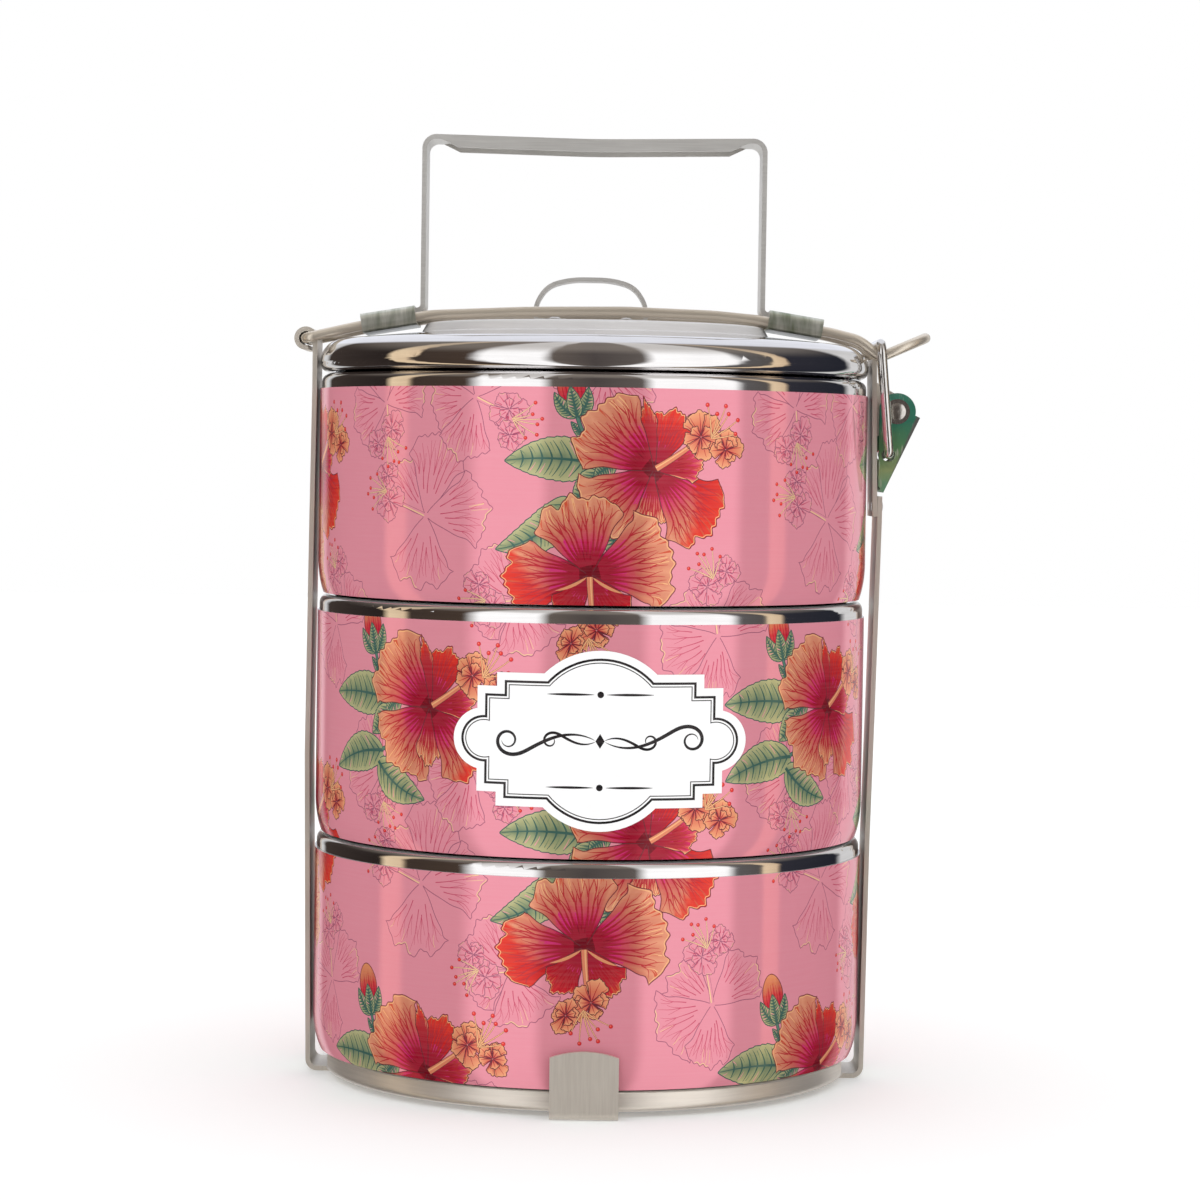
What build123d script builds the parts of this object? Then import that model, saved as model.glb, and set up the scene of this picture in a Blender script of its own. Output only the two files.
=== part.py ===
from build123d import *
from math import asin, cos, degrees, radians, sin, sqrt, tan
import os

# Three-tier tiffin carrier, stainless steel, millimetres.
# Z is up, Z = 0 is the floor, the bowls stand on the Z axis, -Y is the labelled front
# and +X is the latch side.

os.makedirs("parts", exist_ok=True)

# ---- sheet and wire ----
STRIP_T = 1.2            # straps, bracket, lever and handle strip
SHEET_T = 0.6            # bowls and lid
BAIL_R = 1.3             # bail wire radius
LINK_R = 1.2             # latch link wire radius
GAP = 0.3                # air between pieces that move past each other

# ---- bowls ----
BOWL_R = 69.5            # outside of the wall
CORNER_R = 14.0          # rounding between wall and base
BEAD_R = 2.2             # rolled rim
BAND_H = 3.9             # polished band left bare under each rim
RIMS = {"bottom": 61.6, "middle": 122.0, "top": 178.0}
DISH_R = 50.0            # base centre raised inside this radius
DISH_H = 1.5
WRAP_T = 0.15            # printed film on the wall
WRAP_FOOT = 0.6          # film stops this far above the rim below

# ---- lid ----
LID_R = 70.0
LID_FOOT = 178.25        # lowest point of the outer lip
LID_SHOULDER = 186.2     # where the upper slope would meet the side
LID_STEP_R = 44.2        # raised centre of the lid
LID_STEP_SLANT = 1.4
LID_STEP_Z = 188.7
LID_BROW = 191.2
LID_FLAT_R = 20.0
LID_TOP = 191.9
SKIRT_R = 64.6           # skirt that drops inside the top bowl
SKIRT_FOOT = 174.6

# ---- base ring and straps ----
RING_R = 67.5
RING_TOP = 6.4
RING_FLANGE_R = 60.5
RING_FLANGE_T = 1.0
RING_BEND = 2.0          # outside radius of the lower corner
RING_GAP_HALF = 18.3     # the wall is left out this far each side of the side strap
RING_GAP_X = 65.5        # flange cut straight there
STRAP_W = 16.5
TAB_Y = 70.9             # middle of the upturned front and back ends
TAB_TOP = 16.6
TAB_ARCH = 1.5
LAP_HALF = 9.4           # the cross strap steps over the side strap inside this
BASE_RIVET_R = 63.2
BASE_RIVET_SPREAD = 4.2
RIVET_SHANK = 1.2
RIVET_HEAD = 2.1
RIVET_HEAD_H = 0.6

# ---- bail and its eye ----
EYE = (-73.3, 186.8)     # X, Z of the bail hinge
EYE_R = 1.75             # inside of the curled strap end
EYE_SWEEP = 285          # degrees of curl
BAIL_Y = 9.9             # half spacing of the two wires
BAIL_CORNER = 2.0
BAIL_POINTS = [EYE, (-60.2, 189.85), (-41.5, 193.05), (-18, 194.2), (8.0, 194.6),
               (30.0, 193.95), (41.2, 192.95), (59.8, 190.0), (66.8, 188.3), (72.4, 184.1),
               (84.5, 189.4)]
BAIL_RADII = [30, 40, 80, 80, 80, 40, 30, 8, 3]
BAIL_SEAM = 0.2          # butt joint of the wire, hidden in the eye

# ---- carrying handle ----
HANDLE_X = -0.7
HANDLE_HALF = 43.7       # outer faces of the legs
HANDLE_TOP = 238.9
HANDLE_W = 16.0
GRIP_HALF = 39.0         # curled edges of the grip run this far
GRIP_LIP = 2.6
GRIP_LIP_T = 1.0
GRIP_DIP = 0.8
GRIP_TAPER = 8.0         # the curled edges fade out over this length
FOOT_W = 19.6
SEATS = {"left": (1, -52.2), "right": (6, 50.6)}   # straight run of the bail, and X on it
CLIP_L = 13.8
CLIP_T = 0.55

# ---- lid arch ----
ARCH_X = -1.2
ARCH_HALF = 14.75
ARCH_TOP = 203.4
ARCH_W = 9.0
ARCH_T = 1.0
ARCH_FOOT = 8.0

# ---- latch ----
BRACKET_LOW = (71.8, 143.7)    # middle of the bracket plate, X and Z
BRACKET_HIGH = (71.0, 183.6)
STRAP_TOP_RIGHT = 148.8
PIVOT = (77.0, 170.4)
PIVOT_R = 1.45
COLLAR_R = 3.2
COLLAR_T = 0.12
EAR_Y = 6.4              # middle of each ear
EAR_R = 3.6
LEVER_Y = 7.9            # middle of each side plate
LEVER_LOBE = 4.7
LEVER_INNER = 72.5
LEVER_CORNER = (82.8, 168.9)
LEVER_TIP = (73.8, 149.8)
LINK_HOLE = (74.9, 159.4)
LINK_HOLE_R = 1.7
LINK_TOP = (72.3, 187.5)
LINK_HALF_TOP = 12.8
LINK_HALF_LOW = 11.0
LINK_END_Y = 9.3

# ---- name label ----
LABEL_X = 2.6
LABEL_Z = 90.4
LABEL_T = 0.15
LABEL_STEPS = [(58.6, 25.2), (49.3, 31.8)]
LABEL_LOBE = (27.55, 7.4)
LABEL_CAP = (2.7, 18.8)


# ---- bent strips and rounded paths ----
def rounded(points, radii):
    """Lines through the points with an arc of the given radius at each inner corner."""
    edges = []
    start = Vector(*points[0])
    for before, corner, after, radius in zip(points, points[1:], points[2:], radii):
        here = Vector(*corner)
        back = (Vector(*before) - here).normalized()
        ahead = (Vector(*after) - here).normalized()
        half = radians(back.get_angle(ahead) / 2)
        reach = radius / tan(half)
        middle = here + (back + ahead).normalized() * (radius / sin(half) - radius)
        edges.append(Line(start, here + back * reach))
        edges.append(ThreePointArc(here + back * reach, middle, here + ahead * reach))
        start = here + ahead * reach
    edges.append(Line(start, Vector(*points[-1])))
    return edges


def beside(points, radii, distance):
    """The same path moved to its left, with concentric corners."""
    spots = [Vector(*point) for point in points]
    ways = [(b - a).normalized() for a, b in zip(spots, spots[1:])]
    lefts = [Vector(-way.Y, way.X) for way in ways]
    moved = [spots[0] + lefts[0] * distance]
    bent = []
    for spot, radius, before, after in zip(spots[1:], radii, lefts, lefts[1:]):
        moved.append(spot + (before + after) * (distance / (1 + before.dot(after))))
        turn = before.X * after.Y - before.Y * after.X
        bent.append(radius - distance if turn > 0 else radius + distance)
    moved.append(spots[-1] + lefts[-1] * distance)
    return [(spot.X, spot.Y) for spot in moved], bent


def band(points, radii, thickness):
    """Edge-on face of a bent strip, thickened equally to both sides of the path."""
    left = rounded(*beside(points, radii, thickness / 2))
    right = rounded(*beside(points, radii, -thickness / 2))
    ends = [Line(left[0] @ 0, right[0] @ 0), Line(left[-1] @ 1, right[-1] @ 1)]
    return make_face(left + right + ends)


def strip(face, width):
    """A face drawn in X and Z, extruded equally to both sides of the XZ plane."""
    return extrude(Plane.XZ * face, amount=width / 2, both=True)


def sideways(face, y, thickness):
    """A plate drawn in X and Z with its middle at the given Y."""
    return Pos(0, y, 0) * strip(face, thickness)


def upright(radius, x, y, low, high):
    """A round pin along Z."""
    return Pos(x, y, low) * extrude(Circle(radius), amount=high - low)


def crosswise(radius, x, z, low, high):
    """A round pin along Y."""
    return Pos(x, high, z) * extrude(Plane.XZ * Circle(radius), amount=high - low)


def turned(edges):
    """A section drawn in X and Z, turned about the Z axis."""
    return revolve(Plane.XZ * make_face(edges), Axis.Z)


def dome(radius, height):
    """A low rivet head standing on Z = 0."""
    ball = (radius ** 2 + height ** 2) / (2 * height)
    cap = Pos(0, 0, height - ball) * Sphere(ball)
    return cap & Pos(0, 0, height / 2) * Box(4 * radius, 4 * radius, height)


def save(shape, node):
    export_step(shape, f"parts/{node}.step")


# ---- bowls, nested one into the rim of the next ----
def seat_height(spot_r, spot_z, spot_round):
    """Base height of a bowl whose corner stands GAP clear of a rounded edge below it."""
    reach = CORNER_R + spot_round + GAP
    return spot_z + sqrt(reach ** 2 - (spot_r - (BOWL_R - CORNER_R)) ** 2) - CORNER_R


BASES = {
    "bottom": seat_height(RING_R - STRIP_T, RING_TOP, 0),
    "middle": seat_height(BOWL_R - BEAD_R, RIMS["bottom"] - BEAD_R, BEAD_R),
    "top": seat_height(BOWL_R - BEAD_R, RIMS["middle"] - BEAD_R, BEAD_R),
}
FILM_FEET = {"bottom": RING_TOP, "middle": RIMS["bottom"], "top": RIMS["middle"]}


def bowl(base, rim):
    """Pressed bowl: dished base, large corner, straight wall and a rolled rim."""
    hub = BOWL_R - CORNER_R
    bead = (BOWL_R - BEAD_R, rim - BEAD_R)
    curl_end = 225
    inner = BEAD_R - SHEET_T
    return turned([
        Line((0, base + DISH_H), (DISH_R, base + DISH_H)),
        Line((DISH_R, base + DISH_H), (DISH_R + DISH_H, base)),
        Line((DISH_R + DISH_H, base), (hub, base)),
        CenterArc((hub, base + CORNER_R), CORNER_R, -90, 90),
        Line((BOWL_R, base + CORNER_R), (BOWL_R, bead[1])),
        CenterArc(bead, BEAD_R, 0, curl_end),
        Line(*[(bead[0] + r * cos(radians(curl_end)), bead[1] + r * sin(radians(curl_end)))
               for r in (BEAD_R, inner)]),
        CenterArc(bead, inner, 0, curl_end),
        Line((BOWL_R - SHEET_T, bead[1]), (BOWL_R - SHEET_T, base + CORNER_R)),
        CenterArc((hub, base + CORNER_R), CORNER_R - SHEET_T, -90, 90),
        Line((hub, base + SHEET_T), (DISH_R + DISH_H + SHEET_T, base + SHEET_T)),
        Line((DISH_R + DISH_H + SHEET_T, base + SHEET_T),
             (DISH_R + SHEET_T, base + DISH_H + SHEET_T)),
        Line((DISH_R + SHEET_T, base + DISH_H + SHEET_T), (0, base + DISH_H + SHEET_T)),
        Line((0, base + DISH_H + SHEET_T), (0, base + DISH_H)),
    ])


def wrap(base, foot, head):
    """Printed film lying on the wall and the upper part of the corner."""
    hub = BOWL_R - CORNER_R
    fall = degrees(asin((base + CORNER_R - foot) / CORNER_R))
    corner = (hub, base + CORNER_R)
    ends = [(hub + r * cos(radians(fall)), base + CORNER_R - r * sin(radians(fall)))
            for r in (CORNER_R, CORNER_R + WRAP_T)]
    return turned([
        Line((BOWL_R, head), (BOWL_R, base + CORNER_R)),
        CenterArc(corner, CORNER_R, -fall, fall),
        Line(*ends),
        CenterArc(corner, CORNER_R + WRAP_T, -fall, fall),
        Line((BOWL_R + WRAP_T, base + CORNER_R), (BOWL_R + WRAP_T, head)),
        Line((BOWL_R + WRAP_T, head), (BOWL_R, head)),
    ])


for tier, rim in RIMS.items():
    save(bowl(BASES[tier], rim), f"bowl_{tier}")
    save(wrap(BASES[tier], FILM_FEET[tier] + WRAP_FOOT, rim - BAND_H), f"wrap_{tier}")

# ---- name label, a stepped frame shape with round side lobes and arched top and bottom ----
outline = Sketch() + [Rectangle(*size) for size in LABEL_STEPS]
outline += [Pos(side * LABEL_LOBE[0], 0) * Circle(LABEL_LOBE[1]) for side in (-1, 1)]
outline += [Pos(0, side * LABEL_CAP[0]) * Circle(LABEL_CAP[1]) for side in (-1, 1)]
film_r = BOWL_R + WRAP_T
skin = Cylinder(film_r + LABEL_T, 2 * LABEL_Z) - Cylinder(film_r, 2 * LABEL_Z)
label = extrude(Plane.XZ * (Pos(LABEL_X, LABEL_Z) * outline), amount=2 * BOWL_R)
save(label & Pos(0, 0, LABEL_Z) * skin, "name_label")

# ---- base ring, an angle section with its flange on the straps ----
floor_z = STRIP_T + RING_FLANGE_T
wall_in = RING_R - STRIP_T
bend_mid = RING_BEND * (1 - sin(radians(45)))
fold_r = RING_BEND - STRIP_T
fold_mid = fold_r * (1 - sin(radians(45)))
ring = turned([
    Line((RING_FLANGE_R, STRIP_T), (RING_R - RING_BEND, STRIP_T)),
    ThreePointArc((RING_R - RING_BEND, STRIP_T), (RING_R - bend_mid, STRIP_T + bend_mid),
                  (RING_R, STRIP_T + RING_BEND)),
    Line((RING_R, STRIP_T + RING_BEND), (RING_R, RING_TOP - 0.5)),
    ThreePointArc((RING_R, RING_TOP - 0.5), (RING_R - 0.15, RING_TOP - 0.15),
                  (RING_R - 0.5, RING_TOP)),
    *Polyline((RING_R - 0.5, RING_TOP), (wall_in, RING_TOP), (wall_in, floor_z + fold_r)).edges(),
    ThreePointArc((wall_in, floor_z + fold_r), (wall_in - fold_mid, floor_z + fold_mid),
                  (wall_in - fold_r, floor_z)),
    *Polyline((wall_in - fold_r, floor_z), (RING_FLANGE_R, floor_z),
              (RING_FLANGE_R, STRIP_T)).edges(),
])
gap_w = 2 * RING_GAP_HALF
for side in (-1, 1):
    ring -= Pos(side * RING_R, 0, floor_z + RING_TOP / 2) * Box(2 * (RING_R - RING_FLANGE_R),
                                                              gap_w, RING_TOP)
    ring -= Pos(side * (RING_GAP_X + RING_BEND), 0, 0) * Box(2 * RING_BEND, gap_w, 2 * RING_TOP)
rivet_spots = [(Rot(0, 0, turn) * Pos(BASE_RIVET_R, side * BASE_RIVET_SPREAD)).position
               for turn in (0, 90, 180, 270) for side in (-1, 1)]
rivet_bores = Part() + [upright(RIVET_SHANK, spot.X, spot.Y, -1, RING_TOP)
                        for spot in rivet_spots]
centre_bore = upright(RIVET_SHANK, 0, 0, -1, RING_TOP)
save(ring - rivet_bores, "base_ring")

# ---- side strap: hinge eye, left arm, floor strip and right arm ----
mid_r = EYE_R + STRIP_T / 2
strap_points = [(EYE[0] + mid_r, EYE[1]), (EYE[0] + mid_r, 174.0), (-71.3, 142.0),
                (-71.8, 81.0), (-70.7, STRIP_T / 2), (70.7, STRIP_T / 2), (71.3, 60.0),
                (72.1, 96.5), (73.0, 143.0), (73.0, STRAP_TOP_RIGHT)]
curl_start = Pos(*EYE) * Circle(EYE_R + STRIP_T) - Pos(*EYE) * Circle(EYE_R)
curl_gap = make_face(Polyline(EYE, *[
    (EYE[0] + 9 * cos(radians(a)), EYE[1] + 9 * sin(radians(a)))
    for a in (EYE_SWEEP, (EYE_SWEEP + 360) / 2, 360)], close=True))
side_face = band(strap_points, [60, 80, 80, 2.4, 2.4, 80, 80, 10], STRIP_T)
side_strap = strip(side_face + (curl_start - curl_gap), STRAP_W)

bracket_rivets_at = [(STRAP_TOP_RIGHT + BRACKET_LOW[1]) / 2, (-4.5, 4.5)]
bracket_bores = Part() + [
    Pos(60, y, bracket_rivets_at[0]) * (Rot(0, 90, 0) * extrude(Circle(RIVET_SHANK), amount=20))
    for y in bracket_rivets_at[1]]
save(side_strap - rivet_bores - centre_bore - bracket_bores, "side_strap")

# ---- cross strap: steps over the side strap, ends upturned as arched tabs ----
step = STRIP_T
cross_points = [(-TAB_Y, TAB_TOP), (-TAB_Y, STRIP_T / 2), (-LAP_HALF - step, STRIP_T / 2),
                (-LAP_HALF, 1.5 * STRIP_T), (LAP_HALF, 1.5 * STRIP_T),
                (LAP_HALF + step, STRIP_T / 2), (TAB_Y, STRIP_T / 2), (TAB_Y, TAB_TOP)]
cross = strip(band(cross_points, [1.8, 1.2, 1.2, 1.2, 1.2, 1.8], STRIP_T), STRAP_W)
half_w = STRAP_W / 2
tab_shape = make_face([
    *Polyline((half_w, TAB_TOP - TAB_ARCH), (half_w, -1), (-half_w, -1),
              (-half_w, TAB_TOP - TAB_ARCH)).edges(),
    ThreePointArc((-half_w, TAB_TOP - TAB_ARCH), (0, TAB_TOP), (half_w, TAB_TOP - TAB_ARCH))])
cross = Rot(0, 0, 90) * cross & strip(tab_shape, 4 * BOWL_R)
save(cross - rivet_bores - centre_bore, "cross_strap")

# ---- base rivets: flush below, domed above the ring flange; one through the crossing ----
rivets = [upright(RIVET_SHANK, spot.X, spot.Y, 0, floor_z)
          + Pos(spot.X, spot.Y, floor_z) * dome(RIVET_HEAD, RIVET_HEAD_H)
          for spot in rivet_spots]
rivets.append(upright(RIVET_SHANK, 0, 0, 0, 2 * STRIP_T)
              + Pos(0, 0, 2 * STRIP_T) * dome(RIVET_HEAD, RIVET_HEAD_H / 2))
save(Compound(children=rivets), "base_rivets")

# ---- latch bracket: plate behind the strap end with two ears for the lever pivot ----
plate = strip(band([BRACKET_LOW, BRACKET_HIGH], [], STRIP_T), STRAP_W)
ear_face = make_hull(
    (Pos(*PIVOT) * Circle(EAR_R)).edges()
    + Polyline((71.6, 164.0), (71.6, 177.6), (72.0, 177.6), (72.0, 164.0), close=True).edges())
bracket = plate + [sideways(ear_face, side * EAR_Y, STRIP_T) for side in (-1, 1)]
pivot_bore = crosswise(PIVOT_R + 0.05, *PIVOT, -20, 20)
save(bracket - bracket_bores - pivot_bore, "latch_bracket")

strap_out = 73.0 + STRIP_T / 2
plate_in = BRACKET_LOW[0] - STRIP_T / 2 - 0.05
heads = []
for y in bracket_rivets_at[1]:
    shank = Pos(plate_in, y, bracket_rivets_at[0]) * (
        Rot(0, 90, 0) * extrude(Circle(RIVET_SHANK), amount=strap_out - plate_in))
    head = Pos(strap_out, y, bracket_rivets_at[0]) * (Rot(0, 90, 0) * dome(1.9, 0.5))
    heads.append(shank + head)
save(Compound(children=heads), "bracket_rivets")

# ---- lever pivot: one pin through ears and side plates, a collar and a domed head each side ----
plate_out = LEVER_Y + STRIP_T / 2
collar_in = plate_out + 0.02
collar_out = collar_in + COLLAR_T
pin = crosswise(PIVOT_R, *PIVOT, -collar_out, collar_out)
for side in (-1, 1):
    pin += crosswise(COLLAR_R, *PIVOT, *sorted((side * collar_in, side * collar_out)))
    pin += Pos(PIVOT[0], side * collar_out, PIVOT[1]) * (Rot(-90 * side, 0, 0) * dome(2.15, 0.36))
save(pin, "lever_pivot")

# ---- lever: two lobed side plates joined by a spine ----
spine_way = Vector(LEVER_TIP[0] - LEVER_CORNER[0], LEVER_TIP[1] - LEVER_CORNER[1]).normalized()
spine_in = Vector(spine_way.Y, -spine_way.X) * STRIP_T
corner = Vector(*LEVER_CORNER)
tip = Vector(*LEVER_TIP)
side_face = make_face(Polyline(
    corner, tip, (LEVER_INNER, LEVER_TIP[1] + 1.6), (LEVER_INNER, PIVOT[1]), PIVOT, close=True))
side_face += Pos(*PIVOT) * Circle(LEVER_LOBE)
side_face &= Pos(LEVER_INNER + 20, PIVOT[1]) * Rectangle(40, 60)
side_face -= Pos(*LINK_HOLE) * Circle(LINK_HOLE_R)
side_face -= Pos(*PIVOT) * Circle(PIVOT_R + 0.05)
spine_face = make_face(Polyline(corner, tip, tip + spine_in, corner + spine_in, close=True))
lever = strip(spine_face, 2 * plate_out)
lever += [sideways(side_face, side * LEVER_Y, STRIP_T) for side in (-1, 1)]
save(lever, "lever")

# ---- link: wire loop over the bail, its ends turned in towards the lever holes ----
link_corner = 2.6
drop = Vector(LINK_HOLE[0] - LINK_TOP[0], 0, LINK_HOLE[1] - LINK_TOP[1])
link_path = rounded([(LINK_END_Y, drop.Z), (LINK_HALF_LOW, drop.Z), (LINK_HALF_TOP, 0),
                     (-LINK_HALF_TOP, 0), (-LINK_HALF_LOW, drop.Z), (-LINK_END_Y, drop.Z)],
                    [1.3, link_corner, link_corner, 1.3])
link_plane = Plane(origin=(LINK_TOP[0], 0, LINK_TOP[1]), x_dir=(0, 1, 0),
                   z_dir=Vector(0, 1, 0).cross(-drop))
link_wire = Wire([(link_plane * edge).edge() for edge in link_path])
link_end = Plane(origin=link_wire @ 0, z_dir=link_wire % 0)
save(sweep(link_end * Circle(LINK_R), path=link_wire), "latch_link")

# ---- bail: two parallel wires from the eye over the lid to a thumb loop ----
rise = (Vector(*BAIL_POINTS[-1]) - Vector(*BAIL_POINTS[-2])).normalized()
start_way = (Vector(*BAIL_POINTS[1]) - Vector(*EYE)).normalized()
run_start = Vector(*EYE) + start_way * BAIL_CORNER
run_end = Vector(*BAIL_POINTS[-1]) - rise * BAIL_Y
run = rounded([(run_start.X, run_start.Y), *BAIL_POINTS[1:-1], (run_end.X, run_end.Y)],
              BAIL_RADII)
near = [(Pos(0, -BAIL_Y, 0) * (Plane.XZ * edge)).edge() for edge in run]
far = [mirror(edge, Plane.XZ).edge() for edge in reversed(near)]
bend = BAIL_CORNER * (1 - sin(radians(45)))
eye_mid = Vector(*EYE) + start_way * bend
corners = [ThreePointArc((EYE[0], side * (BAIL_Y - BAIL_CORNER), EYE[1]),
                         (eye_mid.X, side * (BAIL_Y - bend), eye_mid.Y),
                         (run_start.X, side * BAIL_Y, run_start.Y)) for side in (-1, 1)]
thumb = ThreePointArc((run_end.X, -BAIL_Y, run_end.Y),
                      (BAIL_POINTS[-1][0], 0, BAIL_POINTS[-1][1]),
                      (run_end.X, BAIL_Y, run_end.Y))
cross_wire = [Line((EYE[0], side * BAIL_SEAM / 2, EYE[1]),
                   (EYE[0], side * (BAIL_Y - BAIL_CORNER), EYE[1])) for side in (-1, 1)]
bail_path = Wire([cross_wire[0], corners[0], *near, thumb, *far, corners[1], cross_wire[1]])
bail_end = Plane(origin=bail_path @ 0, z_dir=bail_path % 0)
save(sweep(bail_end * Circle(BAIL_R), path=bail_path), "bail_wire")

# ---- carrying handle: strip legs, channel grip, feet turned out on top of the wires ----
foot_rise = BAIL_R + STRIP_T / 2
seats = {}
handle_points = []
for (name, (run_index, seat_x)), way in zip(SEATS.items(), (-1, 1)):
    run_from, run_to = (Vector(*BAIL_POINTS[run_index + i]) for i in (0, 1))
    along = (run_to - run_from).normalized()
    on_wire = run_from + along * ((seat_x - run_from.X) / along.X)
    seats[name] = Pos(on_wire.X, 0, on_wire.Y) * Rot(0, -degrees(asin(along.Y)), 0)
    seat = on_wire + Vector(-along.Y, along.X) * foot_rise
    leg_x = HANDLE_X + way * (HANDLE_HALF - STRIP_T / 2)
    knee = seat + along * ((leg_x - seat.X) / along.X)
    toe = seat + along * (way * CLIP_L / 2)
    top = Vector(leg_x, HANDLE_TOP - STRIP_T / 2)
    handle_points.append([(p.X, p.Y) for p in (toe, knee, top)])
dip = (HANDLE_X, HANDLE_TOP - STRIP_T / 2 - GRIP_DIP)
handle_points = handle_points[0] + [dip] + handle_points[1][::-1]
handle = strip(band(handle_points, [1.5, 3.0, 300, 3.0, 1.5], STRIP_T), HANDLE_W)
lip_points = [(HANDLE_X - GRIP_HALF, dip[1] + GRIP_DIP - GRIP_LIP / 2), (dip[0], dip[1] - GRIP_LIP / 2),
              (HANDLE_X + GRIP_HALF, dip[1] + GRIP_DIP - GRIP_LIP / 2)]
lip_face = band(lip_points, [300], GRIP_LIP)
lip_low = HANDLE_TOP - GRIP_DIP - STRIP_T / 2 - GRIP_LIP - 1
lip_face &= make_face(Polyline(*[
    (HANDLE_X + side * (GRIP_HALF - inset), z)
    for side, ends in ((-1, [(0, HANDLE_TOP), (0, HANDLE_TOP - STRIP_T), (GRIP_TAPER, lip_low)]),
                       (1, [(GRIP_TAPER, lip_low), (0, HANDLE_TOP - STRIP_T), (0, HANDLE_TOP)]))
    for inset, z in ends], close=True))
handle += [sideways(lip_face, side * (HANDLE_W - GRIP_LIP_T) / 2, GRIP_LIP_T) for side in (-1, 1)]
for name, seat in seats.items():
    handle += seat * Pos(0, 0, foot_rise) * Box(CLIP_L, FOOT_W, STRIP_T)
save(handle, "handle")

# ---- clips: crimped sleeves holding each foot to the two wires ----
clip_in_h = 2 * BAIL_R + STRIP_T
clip_in_w = 2 * (BAIL_Y + BAIL_R)
for name, seat in seats.items():
    tube = RectangleRounded(clip_in_w + 2 * CLIP_T, clip_in_h + 2 * CLIP_T, BAIL_R + CLIP_T)
    tube -= RectangleRounded(clip_in_w, clip_in_h, BAIL_R)
    sleeve = extrude(Plane.YZ * tube, amount=CLIP_L / 2, both=True)
    save(seat * Pos(0, 0, STRIP_T / 2) * sleeve, f"clip_{name}")

# ---- lid: raised centre, rounded shoulder, lip turned under and a skirt inside the bowl ----
half_t = SHEET_T / 2
lid_points = [(0, LID_TOP - half_t), (LID_FLAT_R, LID_TOP - half_t),
              (LID_STEP_R - LID_STEP_SLANT, LID_BROW - half_t), (LID_STEP_R, LID_STEP_Z - half_t),
              (LID_R - half_t, LID_SHOULDER - half_t), (LID_R - half_t, LID_FOOT + half_t),
              (SKIRT_R - half_t, LID_FOOT + half_t), (SKIRT_R - half_t, SKIRT_FOOT)]
lid = revolve(Plane.XZ * band(lid_points, [200, 0.8, 0.8, 5.4, 2.2, 0.9], SHEET_T), Axis.Z)
arch_rivet_x = [ARCH_X + side * (ARCH_HALF - ARCH_T - ARCH_FOOT / 2 - 0.6) for side in (-1, 1)]
arch_bores = Part() + [upright(1.0, x, 0, LID_STEP_Z, LID_TOP + 5) for x in arch_rivet_x]
save(lid - arch_bores, "lid")

# ---- lid arch: thin strip bow, feet turned in and riveted to the raised centre ----
seat_z = LID_TOP + ARCH_T / 2
arch_wide = ARCH_HALF - ARCH_T / 2
inner_toe = arch_wide - ARCH_FOOT
arch_side = [(inner_toe, seat_z), (arch_wide - 0.2, seat_z), (arch_wide, 196.3),
             (11.1, ARCH_TOP - 2.2), (5.2, ARCH_TOP - ARCH_T / 2)]
arch_points = ([(ARCH_X - x, z) for x, z in arch_side]
               + [(ARCH_X + x, z) for x, z in reversed(arch_side)])
arch = strip(band(arch_points, [1.2, 8, 7, 22, 22, 7, 8, 1.2], ARCH_T), ARCH_W)
save(arch - arch_bores, "lid_handle")

arch_rivets = [upright(1.0, x, 0, LID_TOP - SHEET_T - 0.4, seat_z + ARCH_T / 2)
               + Pos(x, 0, seat_z + ARCH_T / 2) * dome(1.8, 0.6) for x in arch_rivet_x]
save(Compound(children=arch_rivets), "lid_handle_rivets")
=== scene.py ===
"""Looks of a three-tier tiffin carrier: finishes, printed film, name label, studio and camera.

Lengths are metres in the shared frame; the print is drawn flat in millimetres, with s along the
wall from its front line and z up, and then rolled on to the bowls.
"""

import cmath
import math

import bpy
import numpy as np
from mathutils import Matrix, Vector
from mathutils.geometry import delaunay_2d_cdt


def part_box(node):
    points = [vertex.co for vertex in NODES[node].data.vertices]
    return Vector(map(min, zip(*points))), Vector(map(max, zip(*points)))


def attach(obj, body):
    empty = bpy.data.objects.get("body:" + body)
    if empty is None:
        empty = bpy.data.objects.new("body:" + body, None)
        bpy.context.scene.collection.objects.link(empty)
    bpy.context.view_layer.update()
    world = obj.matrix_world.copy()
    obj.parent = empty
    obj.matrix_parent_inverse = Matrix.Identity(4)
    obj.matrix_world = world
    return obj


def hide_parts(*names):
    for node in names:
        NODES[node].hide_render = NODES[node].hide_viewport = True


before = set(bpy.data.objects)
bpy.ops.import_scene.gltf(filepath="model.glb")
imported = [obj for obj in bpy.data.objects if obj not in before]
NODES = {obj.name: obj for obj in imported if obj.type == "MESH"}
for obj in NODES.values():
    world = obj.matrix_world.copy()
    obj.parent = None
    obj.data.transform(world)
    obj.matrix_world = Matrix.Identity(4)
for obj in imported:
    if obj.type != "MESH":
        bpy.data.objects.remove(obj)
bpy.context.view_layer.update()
MM = 0.001


def placed(name, data):
    """A new object in the scene."""
    made = bpy.data.objects.new(name, data)
    bpy.context.scene.collection.objects.link(made)
    return made


# ---------------------------------------------------------------- node helpers

def srgb(r, g, b):
    """Display colour from 0 to 255 as the linear colour that shaders take."""
    return tuple(((c / 255 + 0.055) / 1.055) ** 2.4 if c > 10 else c / 3295 for c in (r, g, b)) + (1,)


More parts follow.
